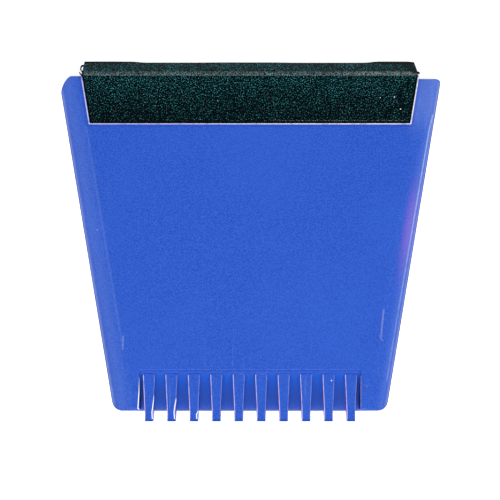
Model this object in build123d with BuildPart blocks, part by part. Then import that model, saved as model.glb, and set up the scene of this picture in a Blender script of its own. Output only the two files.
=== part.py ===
from build123d import *
import os
from math import cos, radians, sin, sqrt

# Hand ice scraper, lying on its back: the scraping edge at -Y, the wiping lip at +Y and
# the front face up. The origin is on the back face, in the middle of the overall length.

# Plan of the body
body_length = 97.9          # scraping edge to mouth plane
mouth_width = 112.0         # over the two straight sides, at the mouth plane
blade_width = 79.7          # over the two straight sides, at the scraping edge
thickness = 13.0            # back face to front face
corner_radius = 3.2         # the two corners beside the scraping edge

# Walls and seam
wall = 2.0                  # front shell
plate = 2.0                 # back cover
rim_step = 0.5              # the back cover stands this far proud of the front shell
edge_soften = 0.4           # small rounding on moulded edges
end_round = 0.8             # top edge of the flanks beside the scraping edge
back_round = 1.2            # lower edge of the back cover, away from the scraping edge

# Ears beside the rubber
ear_width = 7.3
notch_depth = 14.1
left_ear_run = 3.9          # rounded outer corner: how far along the end
left_ear_fall = 5.2         # and how far down the side
left_end_pull = 0.4         # how far the curve leans along the end
left_side_pull = 0.3        # and along the side
right_ear_run = 2.2
right_ear_fall = 1.5
right_ear_short = 0.85      # the right ear ends this far below the mouth plane
left_peak = 0.3             # the ears rise this far beside the rubber
right_peak = 0.8
left_peak_run = 0.6         # width of that rise
right_peak_run = 0.9

# Rounded sides of the front shell
crease_margin = 1.0         # the crease runs this far outside the rubber's side
crease_angle = 8.0          # how sharply the surface turns down at the crease
faded_angle = 0.5           # the same, where the crease has melted away
crease_length = 78.0        # mouth plane to where the crease begins to fade
roll_drop = 3.2             # height of the rounded side

# Ramp pocket in front of the scraping edge
flank_width = 7.8           # left at full height at each side of the pocket
pocket_length = 12.3        # scraping edge to the step
pocket_draft = 2.0
step = 0.35                 # drop at the start of the pocket
land = 0.75                 # flat strip between the step and the ramp
ramp_foot = 0.5             # height left above the seam at the end of the ramp
blade_chamfer = 0.8         # how far the scraping edge is thinned from above

# Teeth on the ramp
tooth_count = 10
tooth_gap = 1.025           # outer tooth to the pocket's side wall
tooth_root_width = 3.55
tooth_tip_width = 2.5
tooth_overhang = 2.6        # past the scraping edge
tooth_tip_height = 3.6      # end face of a tooth
tooth_tip_round = 0.7
tooth_corner = 0.5
tooth_soften = 0.25
tooth_draft = 1.0
tooth_setback = 0.3         # start of the ramp to start of the teeth

# Wiper rubber
lip_overhang = 4.0          # mouth plane to the wiping edge
lip_thickness = 1.6
lip_soften = 0.4
ridge_overhang = 0.4        # mouth plane to where the block turns into the lip
ridge_round = 1.3
left_lip_inset = 0.7        # the ends of the lip are cut slanting
right_lip_inset = 1.3
tongue_length = 10.0
tongue_shoulder = 2.0       # the tongue is this much narrower at each end

# Pegs, bosses, ribs
peg_diameter = 4.0
peg_count = 4
peg_margin = 8.5            # end of the tongue to the outer peg
peg_setback = 5.5           # from the start of the rubber block to the peg row
boss_diameter = 7.0
boss_drop = 4.0
post_x = 22.0               # the two posts in the lower half
post_height = 28.0          # from the scraping edge
rib = 1.4
rib_drop = 3.5
stop_rib_gap = 2.0          # left open between the stop rib and the back cover
rail = 1.2
rail_height = 1.5

# Clearances
fit = 0.1                   # rubber to plastic, each side
slide = 0.1                 # peg to bore, on the radius; boss and rail likewise
peg_gap = 0.3               # peg end to the bottom of its bore

# Places along Y and Z
overall_length = tooth_overhang + body_length + lip_overhang
y_tip = -overall_length / 2
y_blade = y_tip + tooth_overhang
y_mouth = y_blade + body_length
y_lip = y_mouth + lip_overhang
y_notch = y_mouth - notch_depth
y_step = y_blade + pocket_length
y_ramp = y_step - land
y_fade = y_mouth - crease_length
y_tongue = y_notch - tongue_length
y_stop = y_tongue - fit
y_ridge = y_mouth + ridge_overhang
y_pegs = y_notch - peg_setback
y_posts = y_blade + post_height
z_field = thickness
z_roof = thickness - wall
z_foot = plate + ramp_foot
beyond = 20.0               # how far cutting tools run past the body

side_slope = (mouth_width - blade_width) / 2 / body_length
side_stretch = sqrt(1 + side_slope**2)


def half_width(y, inset=0.0):
    """Half the body's width at y, with the straight sides moved in by inset."""
    return blade_width / 2 + side_slope * (y - y_blade) - inset * side_stretch


def notch_half(y, clearance=0.0):
    """Half the width of the gap between the ears at y."""
    return half_width(y) - ear_width - clearance * side_stretch


def towards(start, end, share):
    """The point that lies this share of the way from start to end."""
    return tuple(a + (b - a) * share for a, b in zip(start, end))


def shell_plan(inset):
    """Plan of a shell: a trapezoid with an ear at each side of the mouth."""
    bottom = y_blade + inset
    left_top = y_mouth - inset
    right_top = y_mouth - right_ear_short - inset
    left_side_y = left_top - left_ear_fall
    right_side_y = right_top - right_ear_fall
    left_corner = (-half_width(left_top, inset), left_top)
    right_corner = (half_width(right_top, inset), right_top)
    left_end = (left_corner[0] + left_ear_run, left_top)
    right_end = (right_corner[0] - right_ear_run, right_top)
    left_side = (-half_width(left_side_y, inset), left_side_y)
    right_side = (half_width(right_side_y, inset), right_side_y)
    with BuildSketch() as plan:
        with BuildLine():
            Bezier(
                left_end,
                towards(left_end, left_corner, left_end_pull),
                towards(left_side, left_corner, left_side_pull),
                left_side,
            )
            Polyline(
                left_side,
                (-half_width(bottom, inset), bottom),
                (half_width(bottom, inset), bottom),
                right_side,
            )
            Bezier(right_side, right_corner, right_end)
            Polyline(
                right_end,
                (notch_half(right_top), right_top),
                (notch_half(y_notch), y_notch),
                (-notch_half(y_notch), y_notch),
                (-notch_half(left_top), left_top),
                left_end,
            )
        make_face()
        fillet(plan.vertices().group_by(Axis.Y)[0], corner_radius)
    return plan.sketch


def ear_peak(side, ear_top, rise, run):
    """Plan of the small rise at an ear's inner corner, with its foot sunk into the ear."""
    foot = ear_top - rim_step - end_round
    peak = ear_top + rise
    with BuildSketch() as plan:
        with BuildLine():
            Polyline(
                (side * notch_half(foot, -fit / 2), foot),
                (side * notch_half(peak, -fit / 2), peak),
                (side * (notch_half(foot) + run), foot),
                close=True,
            )
        make_face()
    return plan.sketch


def side_band(outer, inner, low, high):
    """Two straight strips along the sides, between two insets from the outline."""
    with BuildSketch() as band:
        for side in (-1, 1):
            with BuildLine():
                Polyline(
                    (side * half_width(low, outer), low),
                    (side * half_width(high, outer), high),
                    (side * half_width(high, inner), high),
                    (side * half_width(low, inner), low),
                    close=True,
                )
            make_face()
    return band.sketch


def on_notch(edge):
    """Whether an edge borders the gap for the rubber."""
    middle = edge.center()
    return middle.Y > y_notch - fit and abs(middle.X) < notch_half(middle.Y) + fit


def on_pocket(edge):
    """Whether an edge borders the ramp pocket."""
    middle = edge.center()
    return middle.Y < y_step + fit and abs(middle.X) < pocket_width / 2 + fit


def on_rounded_back(edge):
    """Whether a back edge is rounded: all but the scraping edge and the rubber's gap."""
    return edge.center().Y > y_blade + fit and not on_notch(edge)


def row(count, pitch):
    """Places along X of a centred row."""
    return [(i - (count - 1) / 2) * pitch for i in range(count)]


# Widths and rows that follow from the plan
pocket_width = blade_width - 2 * flank_width
tooth_pitch = (pocket_width - 2 * tooth_gap - tooth_root_width) / (tooth_count - 1)
tongue_width = 2 * (notch_half(y_notch) - tongue_shoulder)
peg_pitch = (tongue_width - 2 * peg_margin) / (peg_count - 1)
tooth_spots = [(x, 0) for x in row(tooth_count, tooth_pitch)]
peg_spots = [(x, y_pegs) for x in row(peg_count, peg_pitch)]
post_spots = [(-post_x, y_posts), (post_x, y_posts)]
rib_lines = (-post_x, 0, post_x)

# Space above the ramp, between the two flanks
with BuildPart() as pocket:
    with BuildSketch(Plane.XY.offset(z_field)):
        with Locations((0, y_step)):
            Rectangle(pocket_width, 2 * beyond, align=(Align.CENTER, Align.MAX))
    extrude(amount=-thickness, taper=pocket_draft)
    with BuildSketch(Plane.YZ):
        with BuildLine():
            Polyline(
                (y_step, z_field),
                (y_step, z_field - step),
                (y_ramp, z_field - step),
                (y_blade + rim_step, z_foot),
                (y_blade - beyond, z_foot),
                (y_blade - beyond, z_field),
                close=True,
            )
        make_face()
    extrude(amount=mouth_width, both=True, mode=Mode.INTERSECT)

# One tooth: a tapering rib standing on the ramp, cut to a point below its tip
with BuildPart() as tooth:
    with BuildSketch(Plane.XY.offset(z_field)) as tooth_top:
        with BuildLine():
            Polyline(
                (-tooth_root_width / 2, y_ramp - tooth_setback),
                (tooth_root_width / 2, y_ramp - tooth_setback),
                (tooth_tip_width / 2, y_blade),
                (tooth_tip_width / 2, y_tip),
                (-tooth_tip_width / 2, y_tip),
                (-tooth_tip_width / 2, y_blade),
                close=True,
            )
        make_face()
        fillet(tooth_top.vertices().group_by(Axis.Y)[-1], tooth_corner)
    extrude(amount=-thickness, taper=-tooth_draft)
    with BuildSketch(Plane.YZ) as tooth_side:
        with BuildLine():
            Polyline(
                (y_step, z_field),
                (y_tip, z_field),
                (y_tip, z_field - tooth_tip_height),
                (y_blade + rim_step, z_foot - ramp_foot / 2),
                (y_step, z_field - step - wall / 2),
                close=True,
            )
        make_face()
        fillet(tooth_side.vertices().group_by(Axis.Y)[0].sort_by(Axis.Z)[-1], tooth_tip_round)
    extrude(amount=tooth_pitch, both=True, mode=Mode.INTERSECT)
    top_edges = tooth.faces().sort_by(Axis.Z)[-1].edges()
    fillet(top_edges.filter_by_position(Axis.Y, y_blade, y_step), tooth_soften)

# Rounded side: what is cut away outside the curve that falls from the crease. The crease
# is crisp beside the field and melts into it towards the scraping edge.
crease_in = (ear_width - crease_margin) / side_stretch - rim_step
roll_sections = (
    (y_blade - beyond, faded_angle),
    (y_fade, crease_angle),
    (y_mouth + beyond, crease_angle),
)
with BuildPart() as roll:
    for y, angle in roll_sections:
        side_plane = Plane(
            origin=(half_width(y, rim_step), y, z_field),
            x_dir=(1, -side_slope, 0),
            z_dir=(side_slope, 1, 0),
        )
        with BuildSketch(side_plane):
            with BuildLine():
                Spline(
                    (-crease_in, 0),
                    (0, roll_drop),
                    tangents=[(cos(radians(angle)), sin(radians(angle))), (0, 1)],
                )
                Polyline(
                    (0, roll_drop),
                    (beyond, roll_drop),
                    (beyond, -beyond),
                    (-crease_in, -beyond),
                    (-crease_in, 0),
                )
            make_face()
    loft(ruled=True)

# Hollow of the front shell, open to the back and closed by a slanting wall under the ramp
with BuildPart() as hollow:
    extrude(offset(shell_plan(rim_step), -wall), amount=thickness)
    with BuildSketch(Plane.XY):
        with BuildLine():
            Polyline(
                (-tongue_width / 2 - fit, y_tongue),
                (tongue_width / 2 + fit, y_tongue),
                (tongue_width / 2 + fit, y_mouth),
                (-tongue_width / 2 - fit, y_mouth),
                close=True,
            )
        make_face()
    extrude(amount=thickness)
    with BuildSketch(Plane.YZ):
        with BuildLine():
            Polyline(
                (y_mouth, 0),
                (y_mouth, z_roof),
                (y_step + wall, z_roof),
                (y_blade + rim_step + 2 * wall, 0),
                close=True,
            )
        make_face()
    extrude(amount=mouth_width, both=True, mode=Mode.INTERSECT)

with BuildPart() as front_shell:
    # outer form
    extrude(shell_plan(rim_step), amount=thickness)
    top_edges = front_shell.faces().sort_by(Axis.Z)[-1].edges()
    fillet([edge for edge in top_edges if not on_notch(edge)], end_round)
    add(roll.part, mode=Mode.SUBTRACT)
    add(mirror(roll.part, about=Plane.YZ, mode=Mode.PRIVATE), mode=Mode.SUBTRACT)
    top_edges = front_shell.faces().sort_by(Axis.Z)[-1].edges()
    fillet([edge for edge in top_edges if on_notch(edge)], edge_soften)
    right_ear_top = y_mouth - right_ear_short
    extrude(ear_peak(-1, y_mouth, left_peak, left_peak_run), amount=z_field - edge_soften)
    extrude(ear_peak(1, right_ear_top, right_peak, right_peak_run), amount=z_field - edge_soften)
    split(bisect_by=Plane.XY.offset(plate), keep=Keep.TOP)
    add(hollow.part, mode=Mode.SUBTRACT)
    add(pocket.part, mode=Mode.SUBTRACT)
    top_edges = front_shell.faces().sort_by(Axis.Z)[-1].edges()
    fillet([edge for edge in top_edges if on_pocket(edge)], tooth_soften)
    with Locations(*tooth_spots):
        add(tooth.part)
    # stiffening ribs under the roof, and the rib that stops the rubber
    with BuildSketch(Plane.XY.offset(z_roof - rib_drop)):
        with Locations(*[(x, y_step + wall) for x in rib_lines]):
            Rectangle(rib, y_stop - y_step - wall, align=(Align.CENTER, Align.MIN))
    extrude(amount=rib_drop + wall / 2)
    with BuildSketch(Plane.XY.offset(plate + stop_rib_gap)):
        with Locations((0, y_stop)):
            Rectangle(tongue_width, rib, align=(Align.CENTER, Align.MAX))
    extrude(amount=z_roof - plate - stop_rib_gap + wall / 2)
    # bosses over the pegs, and the two posts
    with BuildSketch(Plane.XY.offset(z_roof - boss_drop)):
        with Locations(*peg_spots):
            Circle(boss_diameter / 2)
    extrude(amount=boss_drop + wall / 2)
    with BuildSketch(Plane.XY.offset(plate)):
        with Locations(*post_spots):
            Circle(boss_diameter / 2)
    extrude(amount=z_roof - plate + wall / 2)
    with BuildSketch(Plane.XY.offset(plate)):
        with Locations(*peg_spots, *post_spots):
            Circle(peg_diameter / 2 + slide)
    extrude(amount=z_roof - plate, mode=Mode.SUBTRACT)
front_shell.part.label = "front_shell"

with BuildPart() as back_cover:
    extrude(shell_plan(0), amount=plate)
    back_edges = back_cover.faces().sort_by(Axis.Z)[0].edges()
    fillet([edge for edge in back_edges if on_rounded_back(edge)], back_round)
    # the scraping edge is thinned from above
    with BuildSketch(Plane.YZ):
        with BuildLine():
            Polyline(
                (y_blade, plate),
                (y_blade + rim_step, plate),
                (y_blade, plate - blade_chamfer),
                close=True,
            )
        make_face()
    extrude(amount=blade_width / 2, both=True, mode=Mode.SUBTRACT)
    # pegs through the rubber and into the bosses, and into the two posts
    with BuildSketch(Plane.XY.offset(plate)):
        with Locations(*peg_spots, *post_spots):
            Circle(peg_diameter / 2)
    extrude(amount=z_roof - plate - peg_gap)
    # rails that slip inside the side walls of the front shell
    outer_rail = rim_step + wall + slide
    with BuildSketch(Plane.XY.offset(plate)):
        add(side_band(outer_rail, outer_rail + rail, y_step, y_stop - rib))
    extrude(amount=rail_height)
back_cover.part.label = "back_cover"

with BuildPart() as wiper_rubber:
    with BuildSketch(Plane.YZ) as section:
        with BuildLine():
            Polyline(
                (y_tongue, plate),
                (y_notch, plate),
                (y_notch, 0),
                (y_ridge, 0),
                (y_lip, (thickness - lip_thickness) / 2),
                (y_lip, (thickness + lip_thickness) / 2),
                (y_ridge, thickness),
                (y_notch, thickness),
                (y_notch, z_roof),
                (y_tongue, z_roof),
                close=True,
            )
        make_face()
        fillet(section.vertices().filter_by_position(Axis.Y, y_ridge, y_ridge), ridge_round)
        fillet(section.vertices().group_by(Axis.Y)[-1], lip_soften)
    extrude(amount=mouth_width, both=True)
    with BuildSketch(Plane.XY):
        with BuildLine():
            Polyline(
                (-tongue_width / 2, y_tongue),
                (tongue_width / 2, y_tongue),
                (tongue_width / 2, y_notch),
                (notch_half(y_notch, fit), y_notch),
                (notch_half(y_ridge, fit), y_ridge),
                (notch_half(y_ridge, fit) - right_lip_inset, y_lip),
                (left_lip_inset - notch_half(y_ridge, fit), y_lip),
                (-notch_half(y_ridge, fit), y_ridge),
                (-notch_half(y_notch, fit), y_notch),
                (-tongue_width / 2, y_notch),
                close=True,
            )
        make_face()
    extrude(amount=thickness, mode=Mode.INTERSECT)
    with BuildSketch(Plane.XY):
        with Locations(*peg_spots):
            Circle(peg_diameter / 2 + slide)
    extrude(amount=thickness, mode=Mode.SUBTRACT)
    with BuildSketch(Plane.XY.offset(z_roof - boss_drop)):
        with Locations(*peg_spots):
            Circle(boss_diameter / 2 + slide)
    extrude(amount=boss_drop, mode=Mode.SUBTRACT)
wiper_rubber.part.label = "wiper_rubber"

os.makedirs("parts", exist_ok=True)
for piece in (front_shell, back_cover, wiper_rubber):
    export_step(piece.part, f"parts/{piece.part.label}.step")
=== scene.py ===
# %% [markdown]
# # A hand ice scraper, finished in Blender
#
# The scraper is three pieces: a hollow front shell of blue moulded plastic with ten teeth
# on its ramp, a flat back cover of the same plastic, and a dark rubber strip that wipes.
# The two shells come from the CAD frame and only get their finish here. The rubber is
# modelled here, because its worn lip and cut ends are softer than a CAD solid shows.

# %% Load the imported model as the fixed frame
from math import atan2, hypot, radians

import bmesh
import bpy
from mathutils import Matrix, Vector


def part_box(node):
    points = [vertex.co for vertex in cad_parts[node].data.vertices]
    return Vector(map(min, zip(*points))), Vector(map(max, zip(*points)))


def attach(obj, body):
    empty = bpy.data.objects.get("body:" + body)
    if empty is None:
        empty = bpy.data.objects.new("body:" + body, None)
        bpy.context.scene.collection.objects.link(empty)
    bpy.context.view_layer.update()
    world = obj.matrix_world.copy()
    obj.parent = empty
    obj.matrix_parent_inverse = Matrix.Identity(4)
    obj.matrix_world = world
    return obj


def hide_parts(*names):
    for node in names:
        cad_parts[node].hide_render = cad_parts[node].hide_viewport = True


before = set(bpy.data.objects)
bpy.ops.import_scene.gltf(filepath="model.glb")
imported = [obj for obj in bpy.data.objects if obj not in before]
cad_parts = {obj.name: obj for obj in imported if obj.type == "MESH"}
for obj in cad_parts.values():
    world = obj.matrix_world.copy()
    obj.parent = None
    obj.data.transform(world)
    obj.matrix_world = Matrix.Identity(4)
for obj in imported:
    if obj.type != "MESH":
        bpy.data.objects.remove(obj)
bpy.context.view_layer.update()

MM = 0.001

# %% [markdown]
# ## Places that the other cells use
#
# The edges and steps come from the CAD nodes' own boxes and a few sizes of the design. The
# painted highlights, the marks of wear, the slit, the flash and the pin marks are placed one
# by one, from the middle of the object.

# %% Read the places from the nodes
shell_low, shell_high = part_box("front_shell")
field_z = shell_high.z
tip_y = shell_low.y
blade_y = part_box("back_cover")[0].y
lip_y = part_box("wiper_rubber")[1].y
print("field at z", round(field_z / MM, 2), "mm, blade at y", round(blade_y / MM, 2), "mm")

# %% Name the sizes of the design
LIP_OVERHANG = 4.0 * MM        # mouth plane to the wiping edge
RIDGE_OVERHANG = 0.4 * MM      # mouth plane to where the block turns into the lip
NOTCH_DEPTH = 14.1 * MM
TONGUE_LENGTH = 10.0 * MM
MOUTH_HALF = 56.0 * MM
BLADE_HALF = 39.85 * MM
EAR_WIDTH = 7.3 * MM
BODY_LENGTH = 97.9 * MM
POCKET_HALF = 32.05 * MM
POCKET_LENGTH = 12.3 * MM
TOOTH_COUNT = 10
TOOTH_GAP = 1.025 * MM         # outer tooth to the side of the pocket
TOOTH_ROOT_HALF = 1.775 * MM
TOOTH_TIP_HALF = 1.25 * MM
TOOTH_TOP_OFFSET = 1.05 * MM   # pocket's step to the top of the teeth
PLATE = 2.0 * MM               # thickness of the back cover's plate, pegs left out

mouth_y = lip_y - LIP_OVERHANG
ridge_y = mouth_y + RIDGE_OVERHANG
notch_y = mouth_y - NOTCH_DEPTH
step_y = blade_y + POCKET_LENGTH
tooth_top_y = step_y - TOOTH_TOP_OFFSET
side_slope = (MOUTH_HALF - BLADE_HALF) / BODY_LENGTH
tooth_pitch = 2 * (POCKET_HALF - TOOTH_GAP - TOOTH_ROOT_HALF) / (TOOTH_COUNT - 1)


def outer_half(y):
    """Half the width of the body at y."""
    return BLADE_HALF + side_slope * (y - blade_y)


def notch_half(y):
    """Half the width of the gap between the ears at y."""
    return outer_half(y) - EAR_WIDTH


print("gap for the rubber", round(2 * notch_half(mouth_y) / MM, 1), "mm wide at the mouth")

# %% [markdown]
# ## Camera
#
# The scraper is seen from straight above, so the camera looks down -Z with +Y up. It
# stands far off with a narrow view, as for a product shot, so that the sides of the teeth
# show only as thin lines.

# %% Place the camera
VIEW_WIDTH = 144.76 * MM       # what the view spans at the height of the field
CAMERA_HEIGHT = 1.2
TIPS_TO_CENTRE = 49.65 * MM    # tips of the teeth to the middle of the view
VIEW_CENTRE = Vector((0.0, tip_y + TIPS_TO_CENTRE, 0.0))

camera_data = bpy.data.cameras.new("camera")
camera = bpy.data.objects.new("camera", camera_data)
bpy.context.scene.collection.objects.link(camera)
camera.location = VIEW_CENTRE + Vector((0, 0, CAMERA_HEIGHT))
camera_data.sensor_width = 36
camera_data.lens = camera_data.sensor_width * (CAMERA_HEIGHT - field_z) / VIEW_WIDTH
bpy.context.scene.camera = camera
print("lens", round(camera_data.lens, 1), "mm")

# %% [markdown]
# ## Floor and light
#
# The floor is a light table: a white sheet that also glows a little from below, which
# keeps the shadows pale. The soft boxes stand round the object rather than over it. The
# flat field would mirror a lamp overhead straight into the camera, which washes out the
# blue. Lamps at the sides leave the field deep and draw their shine on the rounded sides
# and the ridge of the rubber instead. The front lamp is the strongest, because it is the
# only one that shines down between the teeth onto the ramp.

# %% Make the floor
FLOOR_GAP = 0.02 * MM          # keeps the floor and the flat back from lying in one plane
FLOOR_SIZE = 4.0
FLOOR_GLOW = 0.62
bpy.ops.object.select_all(action="DESELECT")
bpy.ops.mesh.primitive_plane_add(size=FLOOR_SIZE, location=(0, 0, -FLOOR_GAP))
floor = bpy.context.object
floor.name = "floor"
floor_material = bpy.data.materials.new("white_floor")
floor_material.use_nodes = True
floor_shader = floor_material.node_tree.nodes["Principled BSDF"]
floor_shader.inputs["Base Color"].default_value = (0.92, 0.92, 0.92, 1)
floor_shader.inputs["Roughness"].default_value = 0.9
floor_shader.inputs["Specular IOR Level"].default_value = 0.1
floor_shader.inputs["Emission Color"].default_value = (1, 1, 1, 1)
floor_shader.inputs["Emission Strength"].default_value = FLOOR_GLOW
floor.data.materials.append(floor_material)
print("floor of", FLOOR_SIZE, "m glows at", FLOOR_GLOW)


# %% Hang the soft boxes
def soft_box(name, place, width, height, power):
    """Hang a rectangular area light at place that faces the object, in metres and watts."""
    data = bpy.data.lights.new(name, "AREA")
    data.shape = "RECTANGLE"
    data.size = width
    data.size_y = height
    data.energy = power
    light = bpy.data.objects.new(name, data)
    bpy.context.scene.collection.objects.link(light)
    light.location = place
    light.rotation_euler = (-Vector(place)).to_track_quat("-Z", "Y").to_euler()
    print(name, "gives", power, "W")


soft_box("right_box", (0.9, 0.0, 0.8), 0.7, 0.9, 4.6)
soft_box("left_box", (-0.9, 0.1, 0.9), 0.7, 0.9, 2.8)
soft_box("back_box", (0.0, 0.9, 0.7), 1.2, 0.5, 3.0)
soft_box("front_box", (0.0, -0.75, 0.95), 1.2, 0.6, 14.0)

ROOM_LIGHT = 0.22
world = bpy.data.worlds.new("studio")
world.use_nodes = True
world.node_tree.nodes["Background"].inputs["Color"].default_value = (1, 1, 1, 1)
world.node_tree.nodes["Background"].inputs["Strength"].default_value = ROOM_LIGHT
bpy.context.scene.world = world
bpy.context.scene.view_settings.view_transform = "Standard"

# %% [markdown]
# ## Small helpers for materials
#
# A finish is worked out from where a point lies on the piece, in Object coordinates. A
# handful of helpers keep the node trees short: among them, one adds a node, one adds a Math
# node, one turns a distance into a soft-edged line, and one draws a straight stroke anywhere.


# %% Write the node helpers
class Finish:
    """A material whose pattern is worked out from a point's place on the piece."""

    def __init__(self, name):
        self.material = bpy.data.materials.new(name)
        self.material.use_nodes = True
        self.tree = self.material.node_tree
        self.shader = self.tree.nodes["Principled BSDF"]
        self.place = self.add("ShaderNodeTexCoord").outputs["Object"]
        apart = self.add("ShaderNodeSeparateXYZ", Vector=self.place)
        self.x, self.y, self.z = apart.outputs
        self.colour = None

    def add(self, kind, settings=None, **inputs):
        """A new node with its settings, and its inputs set or linked."""
        node = self.tree.nodes.new(kind)
        for name, value in (settings or {}).items():
            setattr(node, name, value)
        for name, value in inputs.items():
            self.feed(node.inputs[name.replace("_", " ")], value)
        return node

    def feed(self, socket, value):
        """Links a value that comes from a node, and sets one that is the same everywhere."""
        if isinstance(value, bpy.types.NodeSocket):
            self.tree.links.new(value, socket)
        else:
            socket.default_value = value

    def math(self, operation, *values):
        """A Math node's result."""
        node = self.add("ShaderNodeMath", {"operation": operation})
        for socket, value in zip(node.inputs, values):
            self.feed(socket, value)
        return node.outputs[0]

    def past(self, distance, place):
        """How far a distance goes past a place."""
        return self.math("SUBTRACT", distance, place)

    def size_of(self, distance):
        """A distance without its sign."""
        return self.math("ABSOLUTE", distance)

    def round_distance(self, across, along):
        """How far away a point is that lies so far across and so far along."""
        squares = [self.math("POWER", distance, 2) for distance in (across, along)]
        return self.math("SQRT", self.math("ADD", *squares))

    def ramp(self, value, start, end, low=0.0, high=1.0):
        """Goes smoothly from low to high as value goes from start to end."""
        node = self.add("ShaderNodeMapRange", {"interpolation_type": "SMOOTHSTEP"})
        for socket, number in zip(node.inputs, (value, start, end, low, high)):
            self.feed(socket, number)
        return node.outputs[0]

    def line(self, distance, half, blur):
        """1 on a line, where the distance is under half, and 0 past its soft edge."""
        return self.ramp(self.size_of(distance), half, half + blur, 1.0, 0.0)

    def both(self, *masks):
        """Where every one of the masks holds."""
        result = masks[0]
        for mask in masks[1:]:
            result = self.math("MULTIPLY", result, mask)
        return result

    def any_of(self, *masks):
        """Where at least one of the masks holds."""
        result = masks[0]
        for mask in masks[1:]:
            result = self.math("MAXIMUM", result, mask)
        return result

    def stroke(self, start, end, half, blur):
        """A straight stroke between two (x, y) points in mm, seen from above."""
        run = ((end[0] - start[0]) * MM, (end[1] - start[1]) * MM)
        middle = ((start[0] + end[0]) / 2 * MM, (start[1] + end[1]) / 2 * MM, 0)
        turned = self.add("ShaderNodeMapping", {"vector_type": "TEXTURE"}, Vector=self.place)
        turned.inputs["Location"].default_value = middle
        turned.inputs["Rotation"].default_value = (0, 0, atan2(run[1], run[0]))
        apart = self.add("ShaderNodeSeparateXYZ", Vector=turned.outputs[0])
        along = self.line(apart.outputs[0], hypot(*run) / 2 + half, blur)
        return self.both(along, self.line(apart.outputs[1], half, blur))

    def path(self, *points, half=0.12 * MM, blur=0.12 * MM):
        """A stroke that goes through several (x, y) points in mm."""
        runs = zip(points, points[1:])
        return self.any_of(*(self.stroke(start, end, half, blur) for start, end in runs))

    def dot(self, x, y, radius):
        """A small spot at (x, y) in mm."""
        return self.stroke((x, y), (x, y), radius / 2, radius)

    def noise(self, scale, detail=2.0, stretch=(1, 1, 1), roughness=0.5):
        """Noise with so many lumps to the metre, stretched along the axes."""
        turned = self.add("ShaderNodeMapping", Vector=self.place, Scale=stretch)
        node = self.add("ShaderNodeTexNoise", Vector=turned.outputs[0], Scale=scale, Detail=detail)
        node.inputs["Roughness"].default_value = roughness
        return node.outputs["Fac"]

    def mix(self, share, under, over):
        """Paints one colour over another where share says."""
        node = self.add("ShaderNodeMix", {"data_type": "RGBA"})
        colour_sockets = (node.inputs[0], node.inputs[6], node.inputs[7])
        for socket, value in zip(colour_sockets, (share, under, over)):
            self.feed(socket, value)
        return node.outputs[2]

    def paint(self, share, over):
        """Lays a colour over the colour so far, where share says."""
        self.colour = self.mix(share, self.colour, over)

    def bump(self, height, distance, strength, normal=None):
        """Raises the surface by up to distance where height says."""
        node = self.add("ShaderNodeBump", Height=height, Distance=distance, Strength=strength)
        if normal:
            self.feed(node.inputs["Normal"], normal)
        return node.outputs[0]


# %% [markdown]
# ## The blue plastic
#
# Injection-moulded polystyrene or polypropylene in a deep blue, from a tool with a fine
# satin texture. The finish is built in layers: the colour of the pellets with a fine
# mottle, the texture of the tool as bump, painted sheen, highlights and shade where the
# light falls, then what use adds: small nicks and a few scratches.

# %% Mix the blue and its fine mottle
plastic = Finish("blue_plastic")

BLUE = (0.0115, 0.061, 0.400, 1)
PALE_BLUE = (0.0255, 0.099, 0.538, 1)
grain = plastic.noise(2600, detail=3)
cloud = plastic.noise(45, detail=2)
plastic.colour = BLUE
plastic.paint(plastic.ramp(grain, 0.34, 0.66), PALE_BLUE)
plastic.paint(plastic.ramp(cloud, 0.4, 0.75, 0.0, 0.3), PALE_BLUE)
print("mottle added:", len(plastic.tree.nodes), "nodes so far")

# %% Measure how far a point is from the body's edges
# Each of these is a distance that grows outwards, and the masks say which side of the piece.
outer_line = plastic.math("MULTIPLY_ADD", plastic.y, side_slope, outer_half(0.0))
from_outer = plastic.past(plastic.size_of(plastic.x), outer_line)
from_side = plastic.math("ADD", from_outer, EAR_WIDTH)
from_bottom = plastic.math("SUBTRACT", notch_y, plastic.y)
from_notch = plastic.math("MAXIMUM", from_side, from_bottom)

on_left = plastic.ramp(plastic.x, 2 * MM, -2 * MM)
on_right = plastic.ramp(plastic.x, -2 * MM, 2 * MM)
on_front = plastic.ramp(plastic.z, 3 * MM, 4 * MM)
on_top = plastic.ramp(plastic.z, field_z - 0.9 * MM, field_z - 0.6 * MM)
on_teeth = plastic.ramp(plastic.z, field_z - 0.45 * MM, field_z - 0.25 * MM)
on_back = plastic.ramp(plastic.z, 0.3 * MM, 0.1 * MM)
above_back = plastic.ramp(plastic.z, 0.2 * MM, 0.6 * MM)
print("distances and sides added:", len(plastic.tree.nodes), "nodes so far")

# %% [markdown]
# ### Painted sheen and shade
#
# A pale painted sheen lies on the rounded rims, most on the right ear, where the light from
# the right falls. It is one pale colour laid on thinly, because a sheen is white light and
# doesn't change the plastic under it. The ramp between the teeth is painted a lighter, purer
# blue as painted light, and the outer walls are painted darker as painted shade.

# %% Paint sheen on the rims and ears
SCUFF_AND_SHEEN = (0.70, 0.88, 1.0, 1)
LEFT_RIM_SHEEN, RIGHT_RIM_SHEEN, RIGHT_EAR_SHEEN = 0.030, 0.02, 0.062
left_reach = plastic.ramp(from_outer, -7.6 * MM, -3.0 * MM)
right_reach = plastic.ramp(from_outer, -3.5 * MM, -1.5 * MM)
left_rim_sheen = plastic.both(left_reach, on_left, on_front, LEFT_RIM_SHEEN)
right_rim_sheen = plastic.both(right_reach, on_right, on_front, RIGHT_RIM_SHEEN)
ear_reach = plastic.ramp(plastic.y, notch_y - 6 * MM, notch_y + 5 * MM)
in_ear = plastic.ramp(from_side, -1.0 * MM, 0.5 * MM)
right_ear_sheen = plastic.both(ear_reach, in_ear, on_right, on_front, RIGHT_EAR_SHEEN)
# painted sheen on the rims and the right ear
plastic.paint(plastic.any_of(left_rim_sheen, right_rim_sheen, right_ear_sheen), SCUFF_AND_SHEEN)
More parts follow.
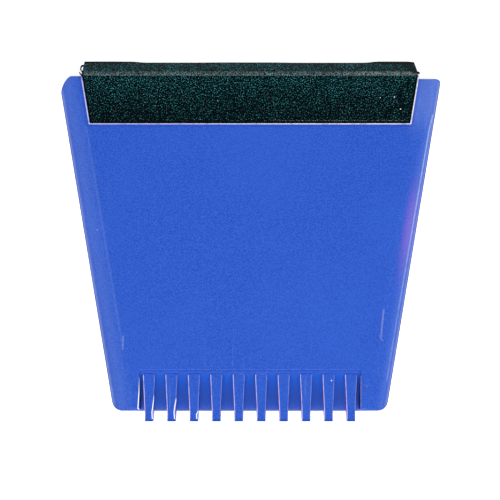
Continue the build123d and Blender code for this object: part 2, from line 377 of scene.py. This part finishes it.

# %% Paint light on the ramp and shade on the outer walls
RAMP_LIT_BLUE = (0.0012, 0.081, 0.515, 1)
DEEP = (0.006, 0.034, 0.33, 1)
below_field = plastic.ramp(plastic.z, field_z - 0.2 * MM, field_z - 1.5 * MM)
from_middle = plastic.size_of(plastic.x)
in_pocket = plastic.ramp(from_middle, POCKET_HALF + 0.1 * MM, POCKET_HALF - 0.1 * MM)
up_to_step = plastic.ramp(plastic.y, step_y + 0.3 * MM, step_y)
# painted light: the ramp between the teeth is painted a lighter, purer blue
plastic.paint(plastic.both(below_field, in_pocket, up_to_step, on_front), RAMP_LIT_BLUE)
# painted shade: the outer walls are painted a deeper blue
WALL_SHADE = 0.62
outer_wall = plastic.ramp(from_outer, -0.75 * MM, -0.35 * MM)
plastic.paint(plastic.both(outer_wall, above_back, WALL_SHADE), DEEP)

# %% Paint highlights on the creases and a purple reflection
# The crease at the right has a painted highlight as a thin bright line, the left one only a faint one.
PURPLE_SHEEN = (0.85, 0.15, 0.60, 1)
patchy = plastic.ramp(plastic.noise(900, detail=2), 0.3, 0.55, 0.55, 1.0)
left_crease = plastic.path((-47.4, 33.0), (-37.0, -30.0), half=0.05 * MM, blur=0.5 * MM)
right_crease = plastic.path((52.9, 36.4), (51.9, 32.1), (41.1, -31.5), half=0.10 * MM, blur=0.22 * MM)
crease_end = plastic.path((41.1, -31.5), (39.7, -40.5), half=0.08 * MM, blur=0.3 * MM)
# painted highlights along the creases
plastic.paint(plastic.both(left_crease, on_front, patchy, 0.035), SCUFF_AND_SHEEN)
crease_share = plastic.ramp(plastic.y, -28 * MM, 14 * MM, 0.12, 0.28)
plastic.paint(plastic.both(right_crease, on_front, patchy, crease_share), SCUFF_AND_SHEEN)
plastic.paint(plastic.both(crease_end, on_front, patchy, 0.10), SCUFF_AND_SHEEN)
SHEEN_Y = 4 * MM                # middle of the painted purple reflection
SHEEN_INSET = 2.7 * MM          # and how far it lies from the outer edge
SHEEN_SHARE = 0.115
sheen_along = plastic.line(plastic.past(plastic.y, SHEEN_Y), 1 * MM, 19 * MM)
sheen_across = plastic.line(plastic.past(from_outer, -SHEEN_INSET), 0.1 * MM, 2.4 * MM)
# a painted purple reflection on the right rim
plastic.paint(plastic.both(sheen_along, sheen_across, on_right, on_front, SHEEN_SHARE), PURPLE_SHEEN)
print("haze and creases added:", len(plastic.tree.nodes), "nodes so far")

# %% [markdown]
# ### Edges
#
# The rim of the gap has a painted highlight, almost white and whitest at the right, with a
# painted shade line just outside it. The teeth are drawn by painted highlights on their own
# edges: the left edge of each catches light along its length, and the right one only
# faintly. These lines follow the design's own outline, worked out as distances, so that
# they stay on the edges.

# %% Paint the highlight and the shade line on the rim of the gap
PALE_HIGHLIGHT = (0.66, 0.62, 0.98, 1)
WHITE_HIGHLIGHT = (1.0, 0.95, 1.0, 1)
in_the_gap = plastic.ramp(plastic.y, mouth_y - 0.4 * MM, mouth_y - 1.0 * MM)
rim_highlight = plastic.both(plastic.line(from_notch, 0.28 * MM, 0.14 * MM), on_top, patchy, in_the_gap)
SHADE_OFFSET = 0.85 * MM       # edge of the gap to the middle of the shaded line
beside_rim = plastic.past(from_notch, SHADE_OFFSET)
shade_line = plastic.both(plastic.line(beside_rim, 0.12 * MM, 0.3 * MM), on_top)
rim_highlight_colour = plastic.mix(plastic.ramp(plastic.x, -25 * MM, 20 * MM), PALE_HIGHLIGHT, WHITE_HIGHLIGHT)
# painted shade line beside the rim of the gap, then a painted highlight on the rim
plastic.paint(plastic.both(shade_line, 0.3), DEEP)
plastic.paint(plastic.both(rim_highlight, 0.95), rim_highlight_colour)
print("rim of the gap added:", len(plastic.tree.nodes), "nodes so far")

# %% Paint highlights on the edges of the teeth
TOOTH_HIGHLIGHT = (0.78, 0.68, 0.97, 1)
FRINGE = (0.34, 0.012, 0.34, 1)
LIT_BLUE = (0.03, 0.18, 0.90, 1)
row_x = plastic.math("ADD", plastic.x, TOOTH_COUNT / 2 * tooth_pitch)
in_pitch = plastic.past(plastic.math("WRAP", row_x, tooth_pitch, 0.0), tooth_pitch / 2)
half_here = plastic.add("ShaderNodeMapRange")
taper = (plastic.y, blade_y, tooth_top_y, TOOTH_TIP_HALF, TOOTH_ROOT_HALF)
for socket, number in zip(half_here.inputs, taper):
    plastic.feed(socket, number)
inside = plastic.past(half_here.outputs[0], plastic.size_of(in_pitch))
below_top = plastic.math("SUBTRACT", tooth_top_y, plastic.y)
in_row = plastic.ramp(from_middle, POCKET_HALF, POCKET_HALF - 0.3 * MM)
past_step = plastic.ramp(below_top, -0.25 * MM, -0.12 * MM)
in_teeth = plastic.both(in_row, past_step)

side_edge = plastic.line(plastic.past(inside, 0.06 * MM), 0.09 * MM, 0.12 * MM)
on_tooth = plastic.ramp(inside, 0.0, 0.1 * MM)
top_edge = plastic.both(plastic.line(below_top, 0.06 * MM, 0.12 * MM), on_tooth)
left_share = plastic.ramp(in_pitch, 0.3 * MM, -0.3 * MM, 0.20, 0.80)
top_share = plastic.ramp(from_middle, 16 * MM, 5 * MM, 0.12, 0.40)
tooth_highlight_share = plastic.any_of(plastic.both(side_edge, left_share), plastic.both(top_edge, top_share))
# painted light on the small walls behind the tops of the teeth, lifting the shade there
behind_top = plastic.line(plastic.math("ADD", below_top, 0.16 * MM), 0.14 * MM, 0.12 * MM)
behind_teeth = plastic.ramp(inside, -0.15 * MM, 0.1 * MM)
plastic.paint(plastic.both(behind_top, behind_teeth, in_row, on_front, 0.7), LIT_BLUE)
# painted highlights on the left and top edges of the teeth
plastic.paint(plastic.both(tooth_highlight_share, in_teeth, on_teeth, patchy), TOOTH_HIGHLIGHT)

# the fringe is a thin violet line from above, and tints the left wall of each tooth
FRINGE_SHARE = 0.40
fringe_line = plastic.line(plastic.math("ADD", inside, 0.12 * MM), 0.08 * MM, 0.1 * MM)
fringe_left = plastic.ramp(in_pitch, 0.2 * MM, -0.2 * MM)
fringe_low = plastic.ramp(plastic.y, tooth_top_y - 3 * MM, tooth_top_y - 7 * MM)
fringe = plastic.both(fringe_line, fringe_left, fringe_low, in_row, on_front)
plastic.paint(plastic.both(fringe, FRINGE_SHARE), FRINGE)
print("rubbed edges added:", len(plastic.tree.nodes), "nodes so far")

# %% Paint shade on the tips and the scraping edge
EDGE_SHADE = (0.003, 0.014, 0.16, 1)
# painted shade on the tips of the teeth and along the scraping edge
tip_shade = plastic.ramp(plastic.y, tip_y + 1.0 * MM, tip_y + 0.35 * MM)
plastic.paint(plastic.both(tip_shade, 0.55), DEEP)
low_down = plastic.ramp(plastic.z, PLATE + 0.3 * MM, PLATE - 0.1 * MM)
blade_shade = plastic.ramp(plastic.y, blade_y + 0.55 * MM, blade_y + 0.25 * MM)
plastic.paint(plastic.both(blade_shade, low_down, above_back, 0.85), EDGE_SHADE)
print("dark edges added:", len(plastic.tree.nodes), "nodes so far")

# %% [markdown]
# ### Painted highlights, specks and scratches
#
# Thin white highlights are painted on the left wall of the pocket and on the right sides of
# the first three teeth, and a pink one on the right wall. A few specks and short scratches
# are scattered over the field and the rims. Each is a short stroke through two or three
# points in mm.

# %% Paint highlights on the walls of the pocket and the first teeth
SPECK_AND_HIGHLIGHT_WHITE = (0.95, 0.95, 1.0, 1)
PINK_HIGHLIGHT = (0.85, 0.50, 0.78, 1)
wall_highlights = plastic.any_of(
    plastic.path((-31.95, -39.6), (-32.15, -44.0), (-32.45, -48.4), (-31.9, -49.0), half=0.07 * MM),
    plastic.path((-27.75, -44.9), (-28.1, -47.6), (-28.4, -49.6), (-28.3, -51.4), half=0.07 * MM),
    plastic.path((-21.35, -45.7), (-21.7, -47.4), (-22.0, -49.5), (-21.85, -51.4), half=0.07 * MM),
    plastic.path((-14.95, -49.2), (-15.5, -50.2), (-15.4, -51.4), half=0.07 * MM),
)
# painted highlights on the left wall of the pocket and the right sides of the first teeth
plastic.paint(plastic.both(wall_highlights, on_top, 0.96), SPECK_AND_HIGHLIGHT_WHITE)
# a painted pink highlight on the right wall of the pocket
right_wall_highlight = plastic.path((32.05, -39.2), (32.05, -49.0), half=0.05 * MM)
plastic.paint(plastic.both(right_wall_highlight, on_top, patchy, 0.65), PINK_HIGHLIGHT)

# %% Scatter the specks and short scratches
specks_white = plastic.dot(23.6, -40.4, 0.15 * MM)
specks_faint = plastic.any_of(
    plastic.dot(-44.2, 3.2, 0.22 * MM),
    plastic.path((33.4, -41.6), (33.8, -42.1), (34.3, -41.9), half=0.03 * MM, blur=0.1 * MM),
    plastic.path((-36.7, -27.5), (-36.85, -31.3), half=0.04 * MM, blur=0.3 * MM),
    plastic.path((38.7, -20.0), (38.2, -25.0), (37.9, -28.1), half=0.02 * MM, blur=0.4 * MM),
    plastic.path((37.6, -27.4), (38.0, -28.3), (38.5, -28.8), half=0.02 * MM, blur=0.2 * MM),
)
plastic.paint(plastic.both(specks_white, on_top, 0.85), SPECK_AND_HIGHLIGHT_WHITE)
plastic.paint(plastic.both(specks_faint, on_front, patchy, 0.12), SPECK_AND_HIGHLIGHT_WHITE)
print("knocks added:", len(plastic.tree.nodes), "nodes so far")

# %% [markdown]
# ### Scratches and marks of the mould
#
# A scraper is pushed and pulled along its length, so its fine scratches all run that way.
# Noise that is drawn out along Y gives them, faint on the front and plain on the back,
# which slides over the glass. The back also keeps what the mould left: the four round
# marks of the pins that pushed the cover out, and the stub of the gate in the middle.

# %% Scratch the faces along the stroke
scratches = plastic.ramp(plastic.noise(1500, detail=2, stretch=(1, 0.035, 1)), 0.66, 0.72)
near_blade = plastic.ramp(plastic.y, blade_y + 26 * MM, blade_y, 0.0, 0.05)
scratch_share = plastic.any_of(plastic.both(on_back, 0.16), plastic.both(on_top, near_blade))
plastic.paint(plastic.both(scratches, scratch_share), SCUFF_AND_SHEEN)

# %% Press in the pin marks and the gate
PIN_X, PIN_Y = 22 * MM, 27 * MM
PIN_RADIUS = 3.0 * MM
GATE_RADIUS = 1.3 * MM
pin_x = plastic.past(from_middle, PIN_X)
pin_y = plastic.past(plastic.size_of(plastic.y), PIN_Y)
from_pin = plastic.round_distance(pin_x, pin_y)
from_gate = plastic.round_distance(plastic.x, plastic.y)
pin_ring = plastic.line(plastic.past(from_pin, PIN_RADIUS), 0.06 * MM, 0.08 * MM)
pin_face = plastic.ramp(from_pin, PIN_RADIUS, PIN_RADIUS - 0.1 * MM)
gate = plastic.ramp(from_gate, GATE_RADIUS, GATE_RADIUS - 0.2 * MM)
mould_marks = plastic.both(plastic.any_of(pin_ring, plastic.both(pin_face, 0.35), gate), on_back)
plastic.paint(plastic.both(mould_marks, 0.3), DEEP)
print("pin marks of", round(2 * PIN_RADIUS / MM, 1), "mm and a gate pressed in")

# %% Join the layers
plastic.feed(plastic.shader.inputs["Base Color"], plastic.colour)
satin = plastic.ramp(grain, 0.3, 0.7, 0.30, 0.42)
worn = plastic.both(plastic.any_of(scratches, mould_marks), 0.12)
grip = plastic.both(outer_wall, above_back, 0.45)
plastic.feed(plastic.shader.inputs["Roughness"], plastic.math("ADD", satin, plastic.any_of(worn, grip)))
texture = plastic.bump(grain, 0.02 * MM, 0.35)
texture = plastic.bump(plastic.both(scratches, on_back), -0.02 * MM, 0.5, texture)
texture = plastic.bump(mould_marks, -0.12 * MM, 0.8, texture)
plastic.feed(plastic.shader.inputs["Normal"], texture)
plastic.shader.inputs["Specular IOR Level"].default_value = 0.4
plastic.shader.inputs["Specular Tint"].default_value = (0.6, 0.7, 1.0, 1)
print("the blue has", len(plastic.tree.nodes), "nodes")

# %% [markdown]
# ## The dark rubber
#
# Filled rubber, nearly black with a green cast, and porous: its cut faces are full of tiny
# grains that catch light one by one. Noise at three sizes gives the green, warm and pale
# grains, and the noise of the green ones drives the bump, so that they also stand up.

# %% Mix the grains
rubber = Finish("dark_rubber")
RUBBER_DARK = (0.0001, 0.0005, 0.0008, 1)
RUBBER_TEAL = (0.038, 0.262, 0.292, 1)
RUBBER_WARM = (0.075, 0.050, 0.075, 1)
RUBBER_PALE = (0.24, 0.32, 0.31, 1)
pores = rubber.noise(3000, detail=2, roughness=0.6)
warm = rubber.noise(2300, detail=1)
specks = rubber.noise(2000, detail=1)
blotches = rubber.ramp(rubber.noise(170, detail=2), 0.35, 0.6, 0.72, 1.0)
# the grains are as bright at the foot as at the ridge, but there are fewer of them
rarer = rubber.ramp(rubber.y, notch_y, ridge_y, 0.045, 0.0)
grain_share = rubber.both(rubber.ramp(rubber.past(pores, rarer), 0.565, 0.63), blotches)
rubber.colour = RUBBER_DARK
rubber.paint(grain_share, RUBBER_TEAL)
rubber.paint(rubber.ramp(warm, 0.66, 0.74, 0.0, 0.6), RUBBER_WARM)
rubber.paint(rubber.ramp(specks, 0.76, 0.80, 0.0, 0.8), RUBBER_PALE)
print("grains added:", len(rubber.tree.nodes), "nodes so far")

# %% Paint a highlight along the ridge
# A painted highlight lays a grey band along the rounded ridge, more so towards the right
# end, with a thin pale line at its foot.
RIDGE_HIGHLIGHT = (0.200, 0.250, 0.262, 1)
upper = rubber.ramp(rubber.z, field_z / 2, field_z / 2 + 1 * MM)
BAND_SETBACK, FOOT_SETBACK = 0.10 * MM, 0.62 * MM
band = rubber.line(rubber.past(rubber.y, ridge_y - BAND_SETBACK), 0.42 * MM, 0.30 * MM)
band_share = rubber.ramp(rubber.x, 20 * MM, 32 * MM, 0.50, 0.86)
band_grain = rubber.ramp(pores, 0.44, 0.58, 0.05, 1.0)
# painted highlight along the ridge
rubber.paint(rubber.both(band, upper, band_share, band_grain), RIDGE_HIGHLIGHT)
band_foot = rubber.line(rubber.past(rubber.y, ridge_y - FOOT_SETBACK), 0.05 * MM, 0.12 * MM)
rubber.paint(rubber.both(band_foot, upper, band_grain, 0.45), RUBBER_PALE)
print("ridge rubbed:", len(rubber.tree.nodes), "nodes so far")

# %% Paint the shadow of the gaps and the black edge lines
# A black line is painted along the cut edges: at the ends and the foot it is painted shadow of the gap to
# the plastic, and along the lip's edge it is a black line.
end_edge = rubber.math("MULTIPLY_ADD", rubber.y, side_slope, notch_half(0.0))
from_end = rubber.past(rubber.size_of(rubber.x), end_edge)
end_shadow = rubber.ramp(from_end, -0.62 * MM, -0.40 * MM)
foot_shadow = rubber.ramp(rubber.y, notch_y + 0.62 * MM, notch_y + 0.40 * MM)
lip_line = rubber.ramp(rubber.y, lip_y - 0.62 * MM, lip_y - 0.45 * MM)
thick_line = rubber.path((38.6, 51.75), (47.4, 51.75), half=0.45 * MM)
dark_patches = rubber.any_of(
    rubber.path((45.4, 51.2), (47.6, 49.6), half=0.7 * MM, blur=0.6 * MM),
    rubber.path((43.2, 42.4), (43.8, 39.0), half=0.5 * MM, blur=0.6 * MM),
    rubber.path((45.9, 46.8), (45.6, 44.2), half=0.2 * MM, blur=0.3 * MM),
)
foot_glint = rubber.path((6.0, 34.85), (44.5, 34.85), half=0.03 * MM)
rubber.paint(rubber.both(dark_patches, 0.75), RUBBER_DARK)
rubber.paint(rubber.both(foot_glint, upper, band_grain, 0.32), RUBBER_PALE)
shadow_and_edge_lines = rubber.any_of(end_shadow, foot_shadow, lip_line, thick_line)
# painted shadow of the gaps at the ends and the foot, and black lines on the lip's edge
rubber.paint(rubber.both(shadow_and_edge_lines, upper, 0.95), RUBBER_DARK)
print("cut edges blackened:", len(rubber.tree.nodes), "nodes so far")

# %% Lodge a few white grains
GRIT = (0.80, 0.86, 0.84, 1)
grit = rubber.any_of(
    rubber.dot(41.8, 41.7, 0.13 * MM),
    rubber.dot(43.6, 38.2, 0.13 * MM),
    rubber.dot(37.7, 41.5, 0.09 * MM),
    rubber.dot(-41.9, 48.0, 0.07 * MM),
    rubber.dot(-9.4, 40.6, 0.07 * MM),
)
rubber.paint(rubber.both(grit, upper), GRIT)

# %% Join the rubber's layers
rubber.feed(rubber.shader.inputs["Base Color"], rubber.colour)
rubber.feed(rubber.shader.inputs["Roughness"], rubber.ramp(pores, 0.3, 0.7, 0.60, 0.80))
rubber.feed(rubber.shader.inputs["Normal"], rubber.bump(pores, 0.06 * MM, 0.6))
rubber.shader.inputs["Specular IOR Level"].default_value = 0.05
rubber.shader.inputs["Specular Tint"].default_value = (0.35, 0.9, 1.0, 1)
print("the rubber has", len(rubber.tree.nodes), "nodes")

# %% Put the finish on the two shells
for name in ("front_shell", "back_cover"):
    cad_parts[name].material_slots[0].material = plastic.material
    print(name, "is finished in", plastic.material.name)

# %% [markdown]
# ## The rubber strip
#
# On the bench this is one moulded strip: a block with a thin wiping lip in front and a
# thinner tongue behind, which the two shells clamp and four pegs pin. It could be drawn as
# a section and swept, but its ends are cut slanting and its lip is worn wavy, so it is
# modelled from a cube instead: cut into columns, pulled out into lip and tongue, then
# pushed about a column at a time.

# %% Write the modelling helpers
COLUMNS = 96
SAME = 0.02 * MM               # lengths that differ by less count as the same


def start_editing(kind):
    """Go to edit mode with nothing selected, to pick "VERT", "EDGE" or "FACE"."""
    bpy.ops.object.mode_set(mode="EDIT")
    bpy.ops.mesh.select_mode(type=kind)
    bpy.ops.mesh.select_all(action="DESELECT")


def pick(kind, wanted):
    """Select the vertices, edges or faces of the piece that pass the test."""
    start_editing(kind)
    mesh = bmesh.from_edit_mesh(bpy.context.object.data)
    parts = {"VERT": mesh.verts, "EDGE": mesh.edges, "FACE": mesh.faces}[kind]
    for part in parts:
        if wanted(part):
            part.select_set(True)
    mesh.select_flush_mode()
    bmesh.update_edit_mesh(bpy.context.object.data)


def near(a, b):
    """Whether two lengths are the same, give or take."""
    return abs(a - b) < SAME


def runs_along_x(edge, y, z):
    """Whether an edge lies along X at this y and z."""
    return all(near(v.co.y, y) and near(v.co.z, z) for v in edge.verts)


def combine(piece, other, operation):
    """Cut the other shape out of the piece ("DIFFERENCE") or weld it on ("UNION")."""
    bpy.ops.object.mode_set(mode="OBJECT")
    bpy.ops.object.select_all(action="DESELECT")
    piece.select_set(True)
    bpy.context.view_layer.objects.active = piece
    boolean = piece.modifiers.new("combine", "BOOLEAN")
    boolean.operation = operation
    boolean.object = other
    bpy.ops.object.modifier_apply(modifier=boolean.name)
    bpy.data.objects.remove(other)


# %% Start from a block between the ears
FIT = 0.1 * MM                 # gap between the rubber and the plastic, each side
bpy.ops.object.select_all(action="DESELECT")
bpy.ops.mesh.primitive_cube_add(size=1, location=(0, (notch_y + ridge_y) / 2, field_z / 2))
strip = bpy.context.object
strip.name = "rubber_strip"
strip.scale = (2 * (notch_half(ridge_y) - FIT), ridge_y - notch_y, field_z)
bpy.ops.object.transform_apply(location=True, rotation=True, scale=True)

pick("EDGE", lambda edge: runs_along_x(edge, edge.verts[0].co.y, edge.verts[0].co.z))
bpy.ops.mesh.subdivide(number_cuts=COLUMNS - 1)
print("block cut into", COLUMNS, "columns")

# %% Pull out the lip and the tongue
LIP_THICKNESS = 1.6 * MM
TONGUE_LOW, TONGUE_HIGH = 2.0 * MM, 11.0 * MM

pick("FACE", lambda face: face.normal.y > 0.9)
bpy.ops.mesh.extrude_region_move(TRANSFORM_OT_translate={"value": (0, lip_y - ridge_y, 0)})
middle = (0, lip_y, field_z / 2)
bpy.ops.transform.resize(value=(1, 1, LIP_THICKNESS / field_z), center_override=middle)

# the back row is narrower than the front one, as the ears' sides run
pick("VERT", lambda vert: near(vert.co.y, notch_y))
narrower = (notch_half(notch_y) - FIT) / (notch_half(ridge_y) - FIT)
bpy.ops.transform.resize(value=(narrower, 1, 1), center_override=(0, notch_y, 0))

TONGUE_SHOULDER = 2.0 * MM     # the tongue is this much narrower at each end
tongue_half = notch_half(notch_y) - TONGUE_SHOULDER
pick("FACE", lambda face: face.normal.y < -0.9)
bpy.ops.mesh.extrude_region_move()
shrink = (tongue_half / (notch_half(notch_y) - FIT), 1, (TONGUE_HIGH - TONGUE_LOW) / field_z)
bpy.ops.transform.resize(value=shrink, center_override=(0, notch_y, (TONGUE_HIGH + TONGUE_LOW) / 2))
bpy.ops.mesh.extrude_region_move(TRANSFORM_OT_translate={"value": (0, -TONGUE_LENGTH, 0)})
print("lip and tongue pulled out")

# %% Cut the lip's ends slanting
LEFT_INSET, RIGHT_INSET = 0.55 * MM, 0.95 * MM
lip_half = notch_half(ridge_y) - FIT
for side, inset in ((-1, LEFT_INSET), (1, RIGHT_INSET)):
    pick("VERT", lambda vert: near(vert.co.y, lip_y) and near(side * vert.co.x, lip_half))
    bpy.ops.transform.translate(value=(-side * inset, 0, 0))
    print("end cut back by", round(inset / MM, 2), "mm")

# %% Round the ridge and soften the other edges
RIDGE_BEVEL = 0.72 * MM
SOFT = 0.22 * MM
pick("EDGE", lambda edge: runs_along_x(edge, ridge_y, field_z) or runs_along_x(edge, ridge_y, 0))
bpy.ops.mesh.bevel(offset=RIDGE_BEVEL, segments=5, affect="EDGES")
lip_edges = [field_z / 2 - LIP_THICKNESS / 2, field_z / 2 + LIP_THICKNESS / 2]
pick("EDGE", lambda edge: any(runs_along_x(edge, lip_y, z) for z in lip_edges))
bpy.ops.mesh.bevel(offset=SOFT, segments=2, affect="EDGES")
pick("EDGE", lambda edge: runs_along_x(edge, notch_y, field_z) or runs_along_x(edge, notch_y, 0))
bpy.ops.mesh.bevel(offset=SOFT, segments=2, affect="EDGES")
bpy.ops.object.mode_set(mode="OBJECT")
print("strip has", len(strip.data.polygons), "faces")

# %% Wear the lip wavy
# Each worn stretch is (from x, to x, how far it fades out, how deep), all in mm. The columns
# between the two places are pushed back together, and the next ones follow less and less.
WORN = (
    (-31.0, 34.4, 3.8, 0.27),
    (-33.0, -16.0, 8.0, 0.05),
    (14.0, 31.0, 8.0, 0.10),
    (47.0, 48.6, 1.6, 0.18),
)
LIP_FRONT = 1.2 * MM           # how much of the lip's front is worn
for start, end, fade, depth in WORN:
    pick("VERT", lambda vert: vert.co.y > lip_y - LIP_FRONT)
    bpy.ops.mesh.hide(unselected=True)
    pick("VERT", lambda vert: start * MM < vert.co.x < end * MM and not vert.hide)
    bpy.ops.transform.translate(
        value=(0, -depth * MM, 0),
        use_proportional_edit=True,
        proportional_edit_falloff="SMOOTH",
        proportional_size=fade * MM,
    )
    bpy.ops.mesh.reveal(select=False)
bpy.ops.object.mode_set(mode="OBJECT")
front = [vert.co.y for vert in strip.data.vertices if vert.co.y > lip_y - LIP_FRONT]
print("the lip's front vertices lie between y", round(min(front) / MM, 2), "and", round(max(front) / MM, 2))

# %% Bore the tongue for the pegs
PEG_COUNT = 4
PEG_MARGIN = 8.5 * MM
PEG_SETBACK = 5.5 * MM
PEG_RADIUS, BOSS_RADIUS = 2.1 * MM, 3.6 * MM
BOSS_DROP = 4.0 * MM
HOLE_SIDES = 48
peg_pitch = (2 * tongue_half - 2 * PEG_MARGIN) / (PEG_COUNT - 1)
for i in range(PEG_COUNT):
    x = (i - (PEG_COUNT - 1) / 2) * peg_pitch
    for radius, low in ((PEG_RADIUS, -1 * MM), (BOSS_RADIUS, TONGUE_HIGH - BOSS_DROP)):
        depth = field_z + 1 * MM - low
        bpy.ops.object.select_all(action="DESELECT")
        bpy.ops.mesh.primitive_cylinder_add(
            radius=radius,
            depth=depth,
            vertices=HOLE_SIDES,
            location=(x, notch_y - PEG_SETBACK, low + depth / 2),
        )
        combine(strip, bpy.context.object, "DIFFERENCE")
print(PEG_COUNT, "holes bored")

# %% Slit the lip
# A nick that runs slantwise over the bevelled front, from the ridge up to the edge.
SLIT_START = Vector((24.6 * MM, ridge_y + 0.35 * MM))
SLIT_END = Vector((28.6 * MM, lip_y - 0.35 * MM))
SLIT_WIDTH, SLIT_HEIGHT = 0.22 * MM, 1.1 * MM
SLIT_Z = 10.2 * MM
slit_run = SLIT_END - SLIT_START
bpy.ops.object.select_all(action="DESELECT")
bpy.ops.mesh.primitive_cube_add(size=1)
slit = bpy.context.object
slit.scale = (slit_run.length, SLIT_WIDTH, SLIT_HEIGHT)
slit.rotation_euler = (0, 0, atan2(slit_run.y, slit_run.x))
slit.location = (*((SLIT_START + SLIT_END) / 2), SLIT_Z)
bpy.ops.object.transform_apply(location=True, rotation=True, scale=True)
combine(strip, slit, "DIFFERENCE")
print("slit of", round(slit_run.length / MM, 1), "mm cut")

# %% [markdown]
# ### Flash at the ends
#
# Where the two halves of the rubber's mould meet, a little rubber squeezes out and stays
# as flash. At the left end it has torn into a small loop and a hair that stands away, and
# at the right end a nib is left. The loop starts as a ring and is drawn out of round, and
# the hair and the nib are pulled out of short pegs a step at a time. A boolean joins all
# three to the strip, so that it stays one moulding.


# %% Shape the loop and weld it on
LOOP_PLACE = (-48.55 * MM, 49.95 * MM, 9.6 * MM)
LOOP_RADIUS, LOOP_THREAD = 0.70 * MM, 0.24 * MM
LOOP_STRETCH = (0.85, 1.35, 1.0)
LOOP_CORNER_X, LOOP_CORNER_Y = -48.3 * MM, 49.5 * MM
LOOP_PULL = (0.22 * MM, -0.12 * MM, 0)
bpy.ops.object.select_all(action="DESELECT")
bpy.ops.mesh.primitive_torus_add(
    major_radius=LOOP_RADIUS,
    minor_radius=LOOP_THREAD,
    major_segments=32,
    minor_segments=10,
    location=LOOP_PLACE,
)
loop = bpy.context.object
loop.scale = LOOP_STRETCH
bpy.ops.object.transform_apply(location=True, rotation=True, scale=True)
pick("VERT", lambda vert: vert.co.y < LOOP_CORNER_Y and vert.co.x < LOOP_CORNER_X)
bpy.ops.transform.translate(value=LOOP_PULL)
combine(strip, loop, "UNION")
print("loop of flash welded on")


# %% Pull out the hair and the nib of flash
def pull_hair(root, reach, radius, steps):
    """Pull a peg at root, which points along X, out to a thin end a step at a time."""
    bpy.ops.object.select_all(action="DESELECT")
    bpy.ops.mesh.primitive_cylinder_add(
        radius=radius, depth=2 * reach, vertices=10, location=root, rotation=(0, radians(90), 0)
    )
    bpy.ops.object.transform_apply(location=True, rotation=True, scale=True)
    outwards = steps[0][0]
    pick("FACE", lambda face: face.normal.x * outwards > 0.9 * abs(outwards))
    for across, forward, thinner in steps:
        move = (across * MM, forward * MM, 0)
        bpy.ops.mesh.extrude_region_move(TRANSFORM_OT_translate={"value": move})
        bpy.ops.transform.resize(value=(thinner, thinner, thinner))
    combine(strip, bpy.context.object, "UNION")


HAIR_ROOT = Vector((-48.3 * MM, 47.95 * MM, 12.5 * MM))
HAIR_STEPS = ((-0.35, 0.28, 0.95), (-0.38, 0.42, 0.85), (-0.18, 0.26, 0.6))
NIB_ROOT = Vector((48.3 * MM, 48.72 * MM, 12.3 * MM))
NIB_STEPS = ((0.28, -0.02, 0.9), (0.32, -0.10, 0.6))
pull_hair(HAIR_ROOT, 0.3 * MM, 0.34 * MM, HAIR_STEPS)
pull_hair(NIB_ROOT, 0.3 * MM, 0.42 * MM, NIB_STEPS)
print("hair and nib of flash welded on")

# %% Finish the strip
bpy.ops.object.select_all(action="DESELECT")
strip.select_set(True)
bpy.context.view_layer.objects.active = strip
bpy.ops.object.shade_smooth_by_angle(angle=radians(32))
strip.data.materials.append(rubber.material)
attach(strip, "root")
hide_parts("wiper_rubber")
print("strip finished with", len(strip.data.polygons), "faces")
